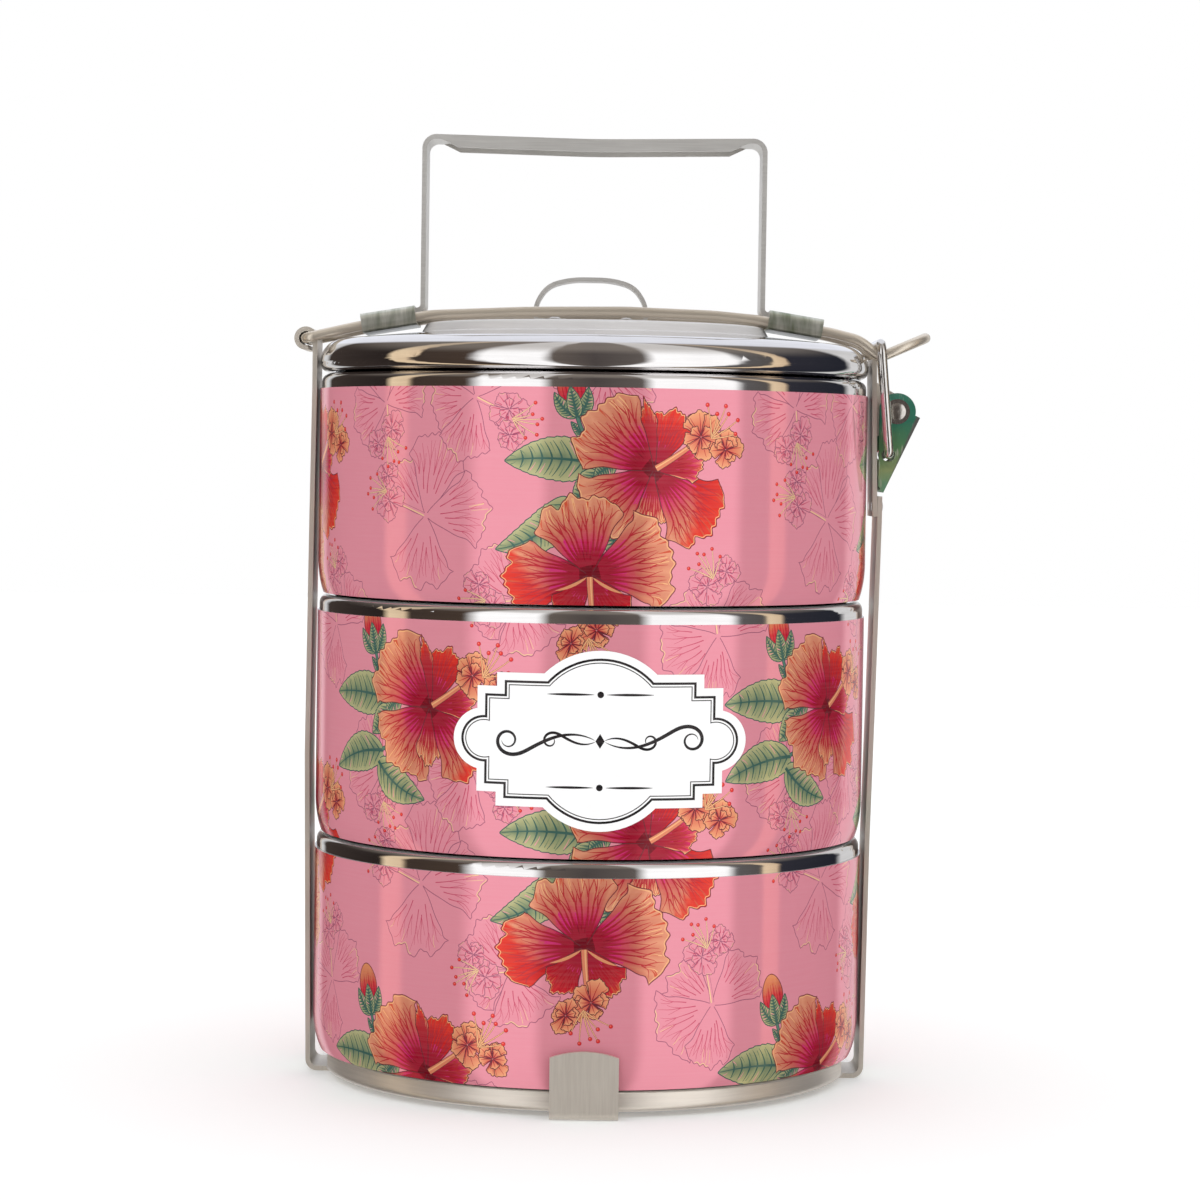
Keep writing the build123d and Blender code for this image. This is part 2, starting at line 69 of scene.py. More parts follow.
class Nodes:
    """A short way to write a shader: values are sockets or plain numbers."""

    def __init__(self, tree):
        self.tree = tree

    def add(self, kind, out=0, **inputs):
        """Adds a node. Keys are its properties, or its inputs by name or by place."""
        node = self.tree.nodes.new("ShaderNode" + kind)
        places = {}
        for key, value in inputs.items():
            if hasattr(node, key):
                setattr(node, key, value)
            else:
                places[key] = value
        for key, value in places.items():
            at = int(key[1:]) if key[0] == "i" and key[1:].isdigit() else key.replace("_", " ")
            self.put(node.inputs[at], value)
        return node if out is None else node.outputs[out]

    def put(self, socket, value):
        """Links a socket to the input, or sets the input's own value."""
        if isinstance(value, bpy.types.NodeSocket):
            self.tree.links.new(value, socket)
        else:
            socket.default_value = value

    def math(self, operation, a, b=0.0, c=0.0):
        return self.add("Math", operation=operation, i0=a, i1=b, i2=c)

    def split(self, vector):
        """The three parts of a vector."""
        node = self.add("SeparateXYZ", out=None, Vector=vector)
        return node.outputs[0], node.outputs[1], node.outputs[2]

    def length(self, x, y):
        """The distance of (x, y) from the middle."""
        squares = self.math("ADD", self.math("MULTIPLY", x, x), self.math("MULTIPLY", y, y))
        return self.math("SQRT", squares)

    def mix(self, share, a, b):
        return self.add("Mix", out=2, data_type="RGBA", i0=share, i6=a, i7=b)

    def ramp(self, value, stops):
        """stops is a list of (place, colour or grey level)."""
        node = self.add("ValToRGB", out=None, Fac=value)
        elements = node.color_ramp.elements
        for i, (place, colour) in enumerate(stops):
            element = elements[i] if i < 2 else elements.new(place)
            element.position = place
            element.color = colour if hasattr(colour, "__len__") else (colour,) * 3 + (1,)
        return node.outputs[0]

    def noise(self, vector, scale, detail=4.0, rough=0.55, stretch=(1, 1, 1)):
        where = self.add("VectorMath", operation="MULTIPLY", i0=vector, i1=stretch)
        return self.add("TexNoise", Vector=where, Scale=scale, Detail=detail, Roughness=rough)


def material(name):
    """A new material, its node maker, its Principled shader and the place in the object's frame."""
    made = bpy.data.materials.new(name)
    made.use_nodes = True
    made.node_tree.nodes.clear()
    n = Nodes(made.node_tree)
    shader = n.add("BsdfPrincipled", out=None)
    n.add("OutputMaterial", out=None, Surface=shader.outputs[0])
    place = n.add("TexCoord", out=3)
    return made, n, shader, place


# ---------------------------------------------------------------- metal finishes

LID_CENTRE_R = 0.0446    # the lid is satin inside this radius
BOWL_RADIUS = 0.07       # turns an angle round the axis into a length
SCRATCH_DEPTH = 0.0001   # height of every bump in the finishes
MARK_SHARE = 0.3         # finger marks' share of the gloss, the rest is the grain's


def around(n, place):
    """Place as (length round the bowls' axis, radius, height), for marks that run round them."""
    x, y, z = n.split(place)
    angle = n.math("ARCTAN2", x, y)
    return n.add("CombineXYZ", X=n.math("MULTIPLY", angle, BOWL_RADIUS), Y=n.length(x, y), Z=z)


def steel(name, tint, shade, rough, rough_spread, grain, grain_scale, grain_depth, spun=False,
          metallic=1.0):
    """Stainless steel with brushed or spun grain, faint stains, and finger marks in its gloss."""
    made, n, shader, place = material(name)
    lay = around(n, place) if spun else place
    lines = n.noise(lay, grain_scale, 3.0, 0.6, grain)
    stains = n.noise(place, 38.0, 5.0, 0.6)
    marks = n.noise(place, 160.0, 3.0, 0.5)
    tone = n.math("ADD", n.math("MULTIPLY", lines, 0.5), n.math("MULTIPLY", stains, 0.5))
    n.put(shader.inputs["Base Color"], n.mix(n.ramp(tone, [(0.35, 0.0), (0.65, 1.0)]), shade, tint))
    gloss = n.math("ADD", n.math("MULTIPLY", marks, MARK_SHARE),
                   n.math("MULTIPLY", lines, 1 - MARK_SHARE))
    n.put(shader.inputs["Roughness"],
          n.math("MULTIPLY_ADD", gloss, rough_spread, rough - rough_spread / 2))
    n.put(shader.inputs["Metallic"], metallic)
    n.put(shader.inputs["Normal"],
          n.add("Bump", Strength=grain_depth, Distance=SCRATCH_DEPTH, Height=lines))
    return made


def satin_centre(made, radius):
    """Turns a polished steel satin inside a radius: the lid's raised centre."""
    n = Nodes(made.node_tree)
    shader = made.node_tree.nodes["Principled BSDF"]
    x, y, _ = n.split(n.add("TexCoord", out=3))
    inside = n.add("MapRange", i0=n.length(x, y), i1=radius + 0.0002, i2=radius)
    for name, value in (("Roughness", 0.5), ("Metallic", 0.35)):
        socket = shader.inputs[name]
        was = socket.links[0].from_socket if socket.links else socket.default_value
        n.put(socket, n.add("Mix", i0=inside, i2=was, i3=value))


def polished_steel(name):
    """Mirror-polished steel with faint spun lines."""
    return steel(name, srgb(228, 226, 226), srgb(216, 214, 214), 0.05, 0.04,
                 (1, 26, 26), 60, 0.02, spun=True)


def finishes():
    """The finish of each metal node except the lever."""
    lid = polished_steel("lid_steel")
    satin_centre(lid, LID_CENTRE_R)
    polished = polished_steel("polished_steel")
    satin = steel("satin_steel", srgb(234, 226, 214), srgb(220, 211, 199), 0.42, 0.1,
                  (40, 40, 2), 45, 0.08, metallic=0.7)
    ring = steel("ring_steel", srgb(232, 223, 212), srgb(216, 207, 196), 0.36, 0.1,
                 (1.5, 40, 40), 45, 0.08, spun=True, metallic=0.7)
    wire = steel("wire_steel", srgb(224, 213, 197), srgb(216, 205, 189), 0.34, 0.06,
                 (1, 20, 20), 60, 0.03, metallic=0.75)
    link = steel("link_steel", srgb(226, 224, 222), srgb(200, 197, 193), 0.14, 0.1,
                 (40, 40, 3), 60, 0.15)
    strip = steel("handle_steel", srgb(232, 230, 226), srgb(216, 214, 210), 0.36, 0.12,
                  (2, 60, 60), 45, 0.06, metallic=0.65)
    clip = steel("clip_steel", srgb(236, 234, 226), srgb(132, 140, 118), 0.3, 0.14,
                 (26, 3, 5), 16, 0.5, metallic=0.7)
    rivet = steel("rivet_steel", srgb(214, 210, 204), srgb(176, 171, 164), 0.2, 0.16,
                  (20, 20, 20), 60, 0.2)
    return dict(
        bowl_bottom=polished, bowl_middle=polished, bowl_top=polished, lid=lid,
        side_strap=satin, cross_strap=satin, latch_bracket=satin, base_ring=ring,
        bail_wire=wire, latch_link=link, handle=strip, lid_handle=strip,
        clip_left=clip, clip_right=clip, base_rivets=rivet, bracket_rivets=rivet,
        lid_handle_rivets=rivet, lever_pivot=rivet)


def plated():
    """Zinc-plated lever: the greens of its passivation, scratches, and a dark grey strip down its
    edge-on web: bare steel, with a painted dark reflection in its colour.
    """
    made, n, shader, place = material("lever_plated")
    x, _, z = n.split(place)
    low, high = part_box("lever")
    along = n.add("MapRange", i0=z, i1=low.z, i2=high.z)
    drift = n.math("MULTIPLY_ADD", n.noise(place, 120.0, 4.0), 0.5, -0.25)
    colour = n.ramp(n.math("ADD", along, drift),
                    [(0.0, srgb(120, 176, 140)), (0.2, srgb(168, 184, 128)),
                     (0.45, srgb(104, 152, 104)), (0.7, srgb(62, 138, 112)),
                     (1.0, srgb(84, 150, 128))])
    dust = n.noise(place, 420.0, 3.0, 0.6)
    scratches = n.noise(place, 150.0, 2.0, 0.5, (9, 9, 1.2))
    worn = n.ramp(scratches, [(0.6, 0.0), (0.68, 0.7)])
    colour = n.mix(worn, colour, srgb(206, 212, 190))
    colour = n.mix(n.ramp(dust, [(0.5, 0.0), (0.8, 0.3)]), colour, srgb(96, 104, 92))
    # painted reflection: a dark grey strip down the lever's slanted edge, where its web is seen
    # edge-on and mirrors dark at a grazing angle; the grey stands for its bare steel
    slant = n.math("MULTIPLY_ADD", n.math("SUBTRACT", z, low.z), (high.x - low.x) / (high.z - low.z),
                   low.x)
    dark_reflection_spine = n.add("MapRange", i0=n.math("SUBTRACT", x, slant), i1=0.0012, i2=0.0018)
    n.put(shader.inputs["Base Color"], n.mix(dark_reflection_spine, colour, srgb(112, 112, 108)))
    n.put(shader.inputs["Roughness"], n.math("MULTIPLY_ADD", dust, 0.25, 0.22))
    n.put(shader.inputs["Metallic"], 0.6)
    n.put(shader.inputs["Normal"], n.add("Bump", Strength=0.15, Distance=SCRATCH_DEPTH, Height=dust))
    return made


def film_finish(name, mirror, rough):
    """Printed film or label: its ink, and how far the steel's mirror shows through it."""
    made, n, shader, place = material(name)
    ink = n.add("VertexColor", layer_name="print")
    lay = around(n, place)
    grain = n.noise(lay, 60, 3.0, 0.6, (1, 1, 30))
    patches = n.noise(place, 30.0, 3.0, 0.5)
    n.put(shader.inputs["Base Color"],
          n.mix(n.ramp(grain, [(0.3, 0.0), (0.7, 0.04)]), ink, srgb(240, 214, 214)))
    n.put(shader.inputs["Roughness"], n.math("MULTIPLY_ADD", patches, 0.06, rough - 0.03))
    n.put(shader.inputs["Metallic"], mirror)
    n.put(shader.inputs["Specular IOR Level"], 0.15)
    n.put(shader.inputs["Normal"],
          n.add("Bump", Strength=0.02, Distance=SCRATCH_DEPTH, Height=grain))
    return made


# ---------------------------------------------------------------- flat drawing, in millimetres

FILM_T = 0.45            # on the wall; its face stands 0.3 outside the frame's own film
WALL_R = 69.5 + FILM_T   # printed face of the film
CORNER_R = 14 + FILM_T   # a bowl's lower corner, with the film
FOOT_SHARE = 0.45        # the printed face draws in this share as far as the bowl's corner does,
                         # so the film thickens towards its foot
REPEAT = 2 * math.pi * WALL_R / 4    # the print repeats four times round each bowl
DROP = 88.5              # and over this height
SECTORS = 8              # pieces of film round a bowl
STRAP_SECTORS = (2, 6)   # the two behind the side straps

PINK = (229, 145, 160)
GREEN = (60, 98, 88)
THROAT = (116, 0, 22)


def tone(t, *stops):
    """Colours at the places t along (place, colour) stops."""
    places = [place for place, _ in stops]
    return np.stack([np.interp(t, places, [colour[i] for _, colour in stops]) for i in range(3)], -1)


def heading(degrees):
    """A unit step in a direction, in degrees from along the wall."""
    return cmath.exp(1j * math.radians(degrees))


def ring(step):
    """Points of a unit circle, a number of degrees apart."""
    return heading(1) ** np.arange(0, 360, step)


def curve(a, b, c, t):
    """Places along a smooth curve from a to c, drawn towards b."""
    return a * (1 - t) ** 2 + 2 * b * t * (1 - t) + c * t ** 2


class Sheet:
    """Shapes laid one over another. Places are complex numbers: along the wall, and up it."""

    def __init__(self):
        self.shapes = []

    def fill(self, outline, paint, inner=()):
        """A closed outline. paint is a colour or a function of places, inner more mesh points."""
        self.shapes.append((np.asarray(outline, complex), paint, np.asarray(inner, complex).ravel()))

    def ribbon(self, line, half_widths, paint):
        way = np.gradient(np.asarray(line, complex))
        side = 1j * way / np.abs(way) * half_widths
        self.fill(np.concatenate([line + side, (line - side)[::-1]]), paint)

    def stroke(self, line, start, end, paint):
        """A line that tapers from one half width to the other."""
        self.ribbon(line, np.linspace(start, end, len(line)), paint)

    def swash(self, line, width, paint):
        """A pen line that swells in its middle."""
        swell = width * np.sin(np.linspace(0, math.pi, len(line))) ** 0.7 + 0.03
        self.ribbon(line, swell, paint)


def flamed(t, side):
    """t with its even rings drawn out into flames across a petal."""
    return t * (1 + 0.10 * np.sin(19 * side + 1) + 0.06 * np.sin(37 * side))


def peach(t, side):
    return tone(flamed(t, side), (0.0, (118, 0, 22)), (0.24, (144, 0, 28)), (0.33, (190, 14, 80)),
                (0.42, (204, 54, 94)), (0.55, (200, 90, 84)), (0.75, (209, 126, 98)),
                (1.0, (226, 152, 118)))


def scarlet(t, side):
    return tone(flamed(t, side), (0.0, (118, 2, 20)), (0.3, (158, 10, 24)), (0.5, (200, 26, 30)),
                (1.0, (224, 58, 40)))


def half_red(t, side):
    """Peach within and scarlet over its outer part, more of it on one side."""
    share = np.clip((t + 0.3 * side + 0.05 * np.sin(31 * side) - 0.62) / 0.16, 0, 1)[..., None]
    return peach(t, side) * (1 - share) + scarlet(t, side) * share


def crimson(t, side):
    """Dark in the middle, then magenta, with a peach border."""
    ring = np.maximum(0.85 * flamed(t, side), np.abs(side) ** 2)
    return tone(ring, (0.0, (120, 2, 24)), (0.5, (160, 8, 36)), (0.68, (208, 36, 100)),
                (0.82, (218, 96, 90)), (1.0, (236, 160, 112)))


def ruby(t, side):
    return tone(flamed(t, side), (0.0, (196, 30, 92)), (0.35, (160, 6, 34)), (0.7, (176, 12, 34)),
                (1.0, (214, 44, 52)))


def floret_tan(t, side):
    return tone(t, (0.0, (200, 84, 72)), (0.5, (218, 120, 90)), (1.0, (238, 166, 120)))


def blank(t, side):
    return np.broadcast_to(np.array(PINK, float), np.shape(t) + (3,))


COLOURED = dict(vein=(160, 18, 46), vein_tip=(190, 52, 52), rim=(104, 40, 48), glow=(242, 182, 128),
                rim_w=0.11)
LINED = dict(vein=(192, 52, 88), vein_tip=(206, 92, 116), rim=(146, 78, 106), glow=(240, 200, 150),
             rim_w=0.085)


def petal(sheet, root, aim, length, width, paint, seed, ink=COLOURED, lobes=2, bend=0.0, veins=9):
    """One petal: its outline, then its throat's streaks, its veins, its glints and its rim."""
    chance = np.random.default_rng(seed)
    turn = heading(aim)
    swing = chance.uniform(0, 2 * math.pi, 4)
    large = length > 9
    tinted = ink is COLOURED

    def at(u, v):
        """The place across (-1 to 1) and along (0 to 1) the petal."""
        frill = 0.03 * np.sin(12 * u + swing[0]) + 0.02 * np.sin(27 * u + swing[1])
        edge = (1 - 0.3 * np.abs(u) ** 2.6) * (1 + frill + 0.045 * np.cos(lobes * math.pi * u))
        x = length * v * (1 + (edge - 1) * v * v)
        sway = 1 + 0.06 * np.sin(13 * v + swing[2]) * v
        y = width * u * v ** 0.8 * (1.15 - 0.15 * v) * sway + bend * x * x / length
        return root + turn * (x + 1j * y)

    def colours(places):
        """The petal's paint, by share of the length and of the spread."""
        w = (places - root) / turn
        w = w - 1j * bend * w.real ** 2 / length
        return paint(np.abs(w) / length, np.angle(w) / math.atan2(width, 0.8 * length))

    def inked(places):
        share = np.clip(np.abs(places - root) / length, 0, 1)
        return tone(share, (0.25, ink["vein"]), (0.9, ink["vein_tip"]))

    flank = np.linspace(0.03, 0.97, 14 if large else 7)
    top = np.linspace(-1, 1, 45 if large else 17)
    outline = np.concatenate([at(-1.0, flank), at(top, 1.0), at(1.0, flank[::-1])])
    across, along = np.meshgrid(np.linspace(-0.9, 0.9, 13), np.linspace(0.08, 0.93, 12))
    sheet.fill(outline, colours, at(across, along) if large and tinted else ())

    if large and tinted:
        for u in chance.uniform(-0.9, 0.9, 10):
            run = np.linspace(0.03, chance.uniform(0.2, 0.36), 4)
            sheet.stroke(at(u * np.ones(4), run), 0.22, 0.03, (112, 0, 24))
        for u in chance.uniform(-0.9, 0.9, 9):
            run = np.linspace(chance.uniform(0.2, 0.3), chance.uniform(0.4, 0.52), 4)
            sheet.stroke(at(u * np.ones(4), run), 0.05, 0.16, (210, 44, 118))
        for u in chance.uniform(-0.95, 0.95, 8):
            run = np.linspace(0.985, chance.uniform(0.78, 0.88), 4)
            sheet.stroke(at(u + np.linspace(0, 0.03, 4), run), 0.26, 0.03, (206, 84, 58))
    weight = 1.0 if tinted else 0.32
    for u in np.linspace(-0.86, 0.86, veins) + chance.uniform(-0.04, 0.04, veins):
        reach = chance.uniform(0.84, 0.95)
        run = np.linspace(0.12 if tinted else chance.uniform(0.25, 0.5), reach, 9)
        lean = u * (0.82 + 0.18 * run) + 0.02 * np.sin(9 * run + swing[3])
        sheet.stroke(at(lean, run), 0.34 * weight if large else 0.12, 0.05, inked)
        if not large:
            continue
        for fork in (-1, 1):
            start = chance.uniform(0.45, 0.7)
            run = np.linspace(start, min(start + 0.27, 0.95), 5)
            spread = u * (0.82 + 0.18 * run) + fork * np.linspace(0, 0.11, 5) ** 0.9
            sheet.stroke(at(spread, run), 0.18 * weight, 0.04, inked)
    if large and paint in (peach, blank):
        for u in chance.uniform(-0.9, 0.9, 6 if tinted else 3):
            run = np.linspace(0.72, 0.94, 4)
            sheet.stroke(at(u * np.ones(4) + 0.02, run), 0.03, 0.12 if tinted else 0.07, ink["glow"])
    lit = top if tinted else top[len(top) // 5:len(top) // 2]
    sheet.stroke(at(lit * 0.985, 0.98), 0.1, 0.1, ink["glow"])
    sheet.stroke(outline, ink["rim_w"], ink["rim_w"], ink["rim"])


def column(sheet, root, aim, length, ink=COLOURED):
    """The stamen column, from the throat to its floret."""
    line = root + heading(aim) * np.linspace(0.5, length, 7)
    line = line + 1j * heading(aim) * 0.03 * np.linspace(0, length, 7) ** 1.4
    tinted = ink is COLOURED
    sheet.stroke(line, 0.85 if tinted else 0.55, 0.6 if tinted else 0.45, ink["rim"])
    sheet.stroke(line, 0.72 if tinted else 0.47, 0.5 if tinted else 0.37,
                 (222, 132, 98) if tinted else PINK)
    sheet.stroke(line + 0.2j * heading(aim), 0.16, 0.1, ink["glow"])


def floret(sheet, spot, aim, size, seed, ink=COLOURED):
    """The frilly cluster at a column's end, with its stalked anthers beyond it."""
    chance = np.random.default_rng(seed)
    paint = floret_tan if ink is COLOURED else blank
    clumps = [(-2.0, 0.45, 1.0), (1.6, -1.1, 0.8)]
    for i, (ahead, aside, scale) in enumerate(clumps):
        heart = spot + heading(aim) * complex(ahead, 4 * aside) * size
        for j, fan in enumerate((150, -140, 95, -92, 48, -45, 5, 110, -100, 20)):
            reach = chance.uniform(4.2, 6.2) if j < 7 else 3.1
            turned = aim + fan + chance.uniform(-18, 18)
            width = chance.uniform(0.42, 0.56) * reach * size * scale
            petal(sheet, heart, turned, reach * size * scale, width, paint, seed + 20 * i + j, ink,
                  veins=3)
    for fan, reach in ((62, 8.0), (28, 8.6), (16, 7.4), (-4, 8.4), (-26, 6.6), (40, 6.0)):
        tip = spot + heading(aim + fan) * reach * size
        bow = (spot + tip) / 2 + 0.5 * size * heading(aim + fan - 90)
        line = curve(spot, bow, tip, np.linspace(0, 1, 5))
        sheet.stroke(line, 0.22 * size, 0.14 * size, ink["rim"])
        sheet.stroke(line, 0.15 * size, 0.08 * size, ink["glow"])
        dot = ring(36)
        sheet.fill(tip + 0.56 * size * dot, (168, 30, 40))
        sheet.fill(tip + 0.47 * size * dot, (220, 48, 46))
        sheet.fill(tip + 0.2 * size * (dot - 0.5 + 0.6j), (240, 110, 96))


def leaf(sheet, root, tip, width, seed, bend=0.0):
    """A toothed leaf with its midrib, side veins and a few pink glints."""
    chance = np.random.default_rng(seed)
    way = tip - root
    side = 1j * way / abs(way)

    def at(u, v):
        belly = 2.3 * np.sqrt(v) * (1 - v) ** 0.9 * (1 + 0.1 * v)
        return root + way * v + side * (width * u * belly + 4 * bend * v * (1 - v))

    def colours(places):
        w = (places - root) / way
        v = np.clip(w.real, 0.01, 0.99)
        middle = 4 * bend * v * (1 - v)
        out = np.abs(w.imag * abs(way) - middle) / (width * 2.3 * np.sqrt(v) * (1 - v) ** 0.9 + 0.2)
        return tone(out + 0.08 * np.sin(30 * v), (0.0, (104, 124, 98)), (0.3, (142, 152, 112)),
                    (0.7, (168, 168, 122)), (1.0, (184, 182, 134)))

    v = np.linspace(0.01, 0.995, 40)
    teeth = 1 + 0.07 * np.mod(v * 11, 1) * (v > 0.25)
    outline = np.concatenate([at(teeth, v), at(-teeth, v)[::-1]])
    across, along = np.meshgrid(np.linspace(-0.8, 0.8, 7), np.linspace(0.06, 0.92, 12))
    sheet.fill(outline, colours, at(across, along))
    for v0 in np.arange(0.06, 0.86, 0.105):
        for edge in (-1, 1):
            run = np.linspace(0, 1, 6)
            rise = v0 + 0.17 * run ** 1.4 * (1 - v0)
            sheet.stroke(at(edge * 0.88 * run, rise), 0.26, 0.05, GREEN)
            short = np.linspace(0.25, 0.8, 4)
            sheet.stroke(at(edge * short, v0 + 0.06 + 0.1 * short ** 1.4), 0.04, 0.13,
                         (228, 150, 160) if chance.random() < 0.3 else (112, 134, 104))
    run = np.linspace(0.0, 0.97, 12)
    sheet.stroke(at(0.0, run), 0.42, 0.06, GREEN)
    sheet.stroke(outline, 0.12, 0.12, (50, 90, 84))


def stem(sheet, *points):
    """A dark green stalk: straight between two points, or drawn towards the middle one of three."""
    t = np.linspace(0, 1, 10)
    if len(points) == 2:
        line = points[0] * (1 - t) + points[1] * t
    else:
        line = curve(*points, t)
    sheet.stroke(line, 0.55, 0.48, (44, 82, 78))
    sheet.stroke(line, 0.36, 0.28, (84, 124, 108))


def bud(sheet, base, aim, seed):
    """A closed bud in its three sepals, on a short stem."""
    turn = heading(aim)
    u = np.linspace(0, 2 * math.pi, 37)
    egg = base + turn * (7.4 + 4.6 * np.cos(u) + 1j * (3.3 - 0.5 * np.cos(u)) * np.sin(u))

    def colours(places):
        w = (places - base) / turn
        return tone(w.real / 12 + 0.06 * np.sin(3.2 * w.imag), (0.35, (196, 28, 60)),
                    (0.55, (206, 60, 62)), (0.7, (206, 112, 82)), (1.0, (226, 148, 98)))

    across, along = np.meshgrid(np.linspace(-2.4, 2.4, 5), np.linspace(3.6, 11, 8))
    sheet.fill(egg, colours, base + turn * (along + 1j * across))
    for y in np.linspace(-2.2, 2.2, 6):
        x = np.linspace(3.4, 9.6 - 0.35 * y * y, 6)
        line = base + turn * (x + 1j * y * (1 - ((x - 6.5) / 9) ** 2))
        sheet.stroke(line, 0.22, 0.04, (176, 24, 46))
    sheet.stroke(egg, 0.11, 0.11, (112, 46, 52))
    stem(sheet, base + turn, base - turn * 2.4, base + turn * complex(-5, -0.9))
    for fan, reach, bend in ((34, 7.6, 0.9), (-34, 7.2, -0.9), (2, 7.0, 0.0)):
        leaf(sheet, base - 0.5 * turn, base + turn * heading(fan) * reach, 1.75, seed + fan, bend)


def spray(sheet, throat, seed):
    """The open hibiscus with its bud, its leaves and its floret, placed by its throat."""
    leaf(sheet, throat + complex(-13.5, 1.2), throat + complex(-36, 1.6), 5.3, seed, -0.9)
    leaf(sheet, throat + complex(-13.6, -0.6), throat + complex(-19.4, -7.6), 3.2, seed + 1, 0.6)
    leaf(sheet, throat + complex(-16.5, 7.0), throat + complex(-20, 11), 1.1, seed + 2)
    bud(sheet, throat + complex(-18.6, 12.6), 102, seed + 3)
    leaf(sheet, throat + complex(-9.5, 1.5), throat + complex(-14.4, -1.8), 2.2, seed + 9)
    sheet.fill(throat + 1.3 * ring(30), THROAT)
    petal(sheet, throat, 68, 14.8, 5.6, scarlet, seed + 4)
    petal(sheet, throat, 228, 18.5, 12.0, peach, seed + 5)
    petal(sheet, throat, 268, 14.0, 4.2, peach, seed + 6)
    petal(sheet, throat, 317, 20.5, 10.0, half_red, seed + 7, lobes=3, bend=-0.03)
    petal(sheet, throat, 8, 12.0, 4.3, crimson, seed + 8)
    petal(sheet, throat, 141, 20.4, 11.6, peach, seed + 10, lobes=3)
    petal(sheet, throat, 92, 16.0, 2.0, half_red, seed + 11, bend=0.12)
    column(sheet, throat, 28, 12.0)
    floret(sheet, throat + complex(14.2, 7.6), 36, 1.0, seed + 12)


def front_flower(sheet, throat, seed):
    """The hibiscus that faces the viewer, its column hanging straight down."""
    sheet.fill(throat + 1.3 * ring(30), THROAT)
    petal(sheet, throat, 184, 20.8, 9.6, half_red, seed, lobes=3)
    petal(sheet, throat, 14, 20.2, 12.2, peach, seed + 1, lobes=3)
    petal(sheet, throat, 103, 18.6, 11.6, peach, seed + 2, lobes=3)
    petal(sheet, throat, 236, 12.8, 4.8, ruby, seed + 3)
    petal(sheet, throat, 304, 13.2, 5.4, ruby, seed + 4)
    for aim, bow in ((219, -1.5), (318, 1.5)):
        fold = throat + heading(aim) * np.linspace(0.8, 9, 10) * heading(bow) ** np.arange(10)
        sheet.swash(fold, 0.34, (226, 150, 106))
    column(sheet, throat, 270, 11.5)
    floret(sheet, throat - 15j, 268, 0.95, seed + 7)


def line_flower(sheet, throat, petals, stamen, seed):
    """A hibiscus in line only: petals are (aim, length, width), stamen is (aim, length)."""
    for i, (aim, length, width) in enumerate(petals):
        petal(sheet, throat, aim, length, width, blank, seed + i, LINED, lobes=2 + i % 2, veins=7)
    if stamen:
        column(sheet, throat, *stamen, LINED)
        end = throat + heading(stamen[0]) * (stamen[1] + 2.2)
        floret(sheet, end, stamen[0], 0.85, seed + 9, LINED)


def print_design():
    """One repeat of the print."""
    sheet = Sheet()
    line_flower(sheet, complex(2.5, 178), [(270, 11, 8.5), (330, 13, 8), (200, 12, 7)], None, 310)
    line_flower(sheet, complex(-42.5, 143), [(128, 15, 8), (78, 20, 8.5), (8, 17, 9), (262, 17, 9.8)],
                (157, 12), 320)
    line_flower(sheet, complex(31.5, 115.5), [(38, 15.5, 8), (150, 13, 8), (206, 15, 9.5),
                                              (268, 15, 7)], (97, 11.5), 330)
    line_flower(sheet, complex(-18, 123.5), [(122, 14, 8), (205, 12, 7), (290, 13, 9)], (182, 6), 340)
    line_flower(sheet, complex(-29, 171.5), [(60, 14, 8), (190, 12, 8), (255, 15, 7.5)],
                (-28, 8.5), 350)
    line_flower(sheet, complex(-56, 170), [(200, 14, 8), (110, 14, 8), (20, 13, 7)], (275, 6), 360)
    leaf(sheet, complex(-5.2, 147.4), complex(-23.4, 135.4), 4.6, 201, 2.6)
    leaf(sheet, complex(5.4, 142.5), complex(4.8, 133.5), 2.6, 202)
    stem(sheet, complex(0.2, 155), complex(-0.3, 151), complex(0.6, 146))
    spray(sheet, complex(14.6, 154.9), 100)
    front_flower(sheet, complex(-0.4, 129.8), 140)
    left = complex(14.6 - REPEAT / 2, 154.9 - 57.6)
    leaf(sheet, left + complex(-15.2, -11.5), left + complex(-35.5, -16.8), 4.9, 203, -1.4)
    leaf(sheet, left + complex(-17, -14.2), left + complex(-1.5, -22.6), 4.4, 204, -1.6)
    stem(sheet, left + complex(-12.2, -2), left + complex(-12.6, -8), left + complex(-12, -14))
    stem(sheet, left + complex(-15.6, -11.2), left + complex(-12.4, -10))
    spray(sheet, left, 160)
    return sheet.shapes


# ---------------------------------------------------------------- film on the wall

def within(points, outline):
    """Which points lie inside a closed outline."""
    a, b = outline, np.roll(outline, -1)
    x, y = points.real[:, None], points.imag[:, None]
    rising = (a.imag > y) != (b.imag > y)
    slope = (b.real - a.real) / np.where(b.imag == a.imag, 1e-12, b.imag - a.imag)
    return (rising & (x < a.real + (y - a.imag) * slope)).sum(1) % 2 == 1


def grid(low, high, step):
    """A staggered grid of places over a rectangle."""
    columns = max(2, round((high.real - low.real) / step))
    rows = max(2, round((high.imag - low.imag) / step))
    s, z = np.meshgrid(np.linspace(low.real, high.real, columns + 1),
                       np.linspace(low.imag, high.imag, rows + 1))
    return (s + 1j * z).ravel()


def meshed(points, edges):
    """Triangles through all the points that keep the given edges."""
    flat = [Vector((p.real, p.imag)) for p in points]
    found = delaunay_2d_cdt(flat, edges, [], 0, 1e-5)
    return np.array([complex(*v) for v in found[0]]), np.array(found[2])


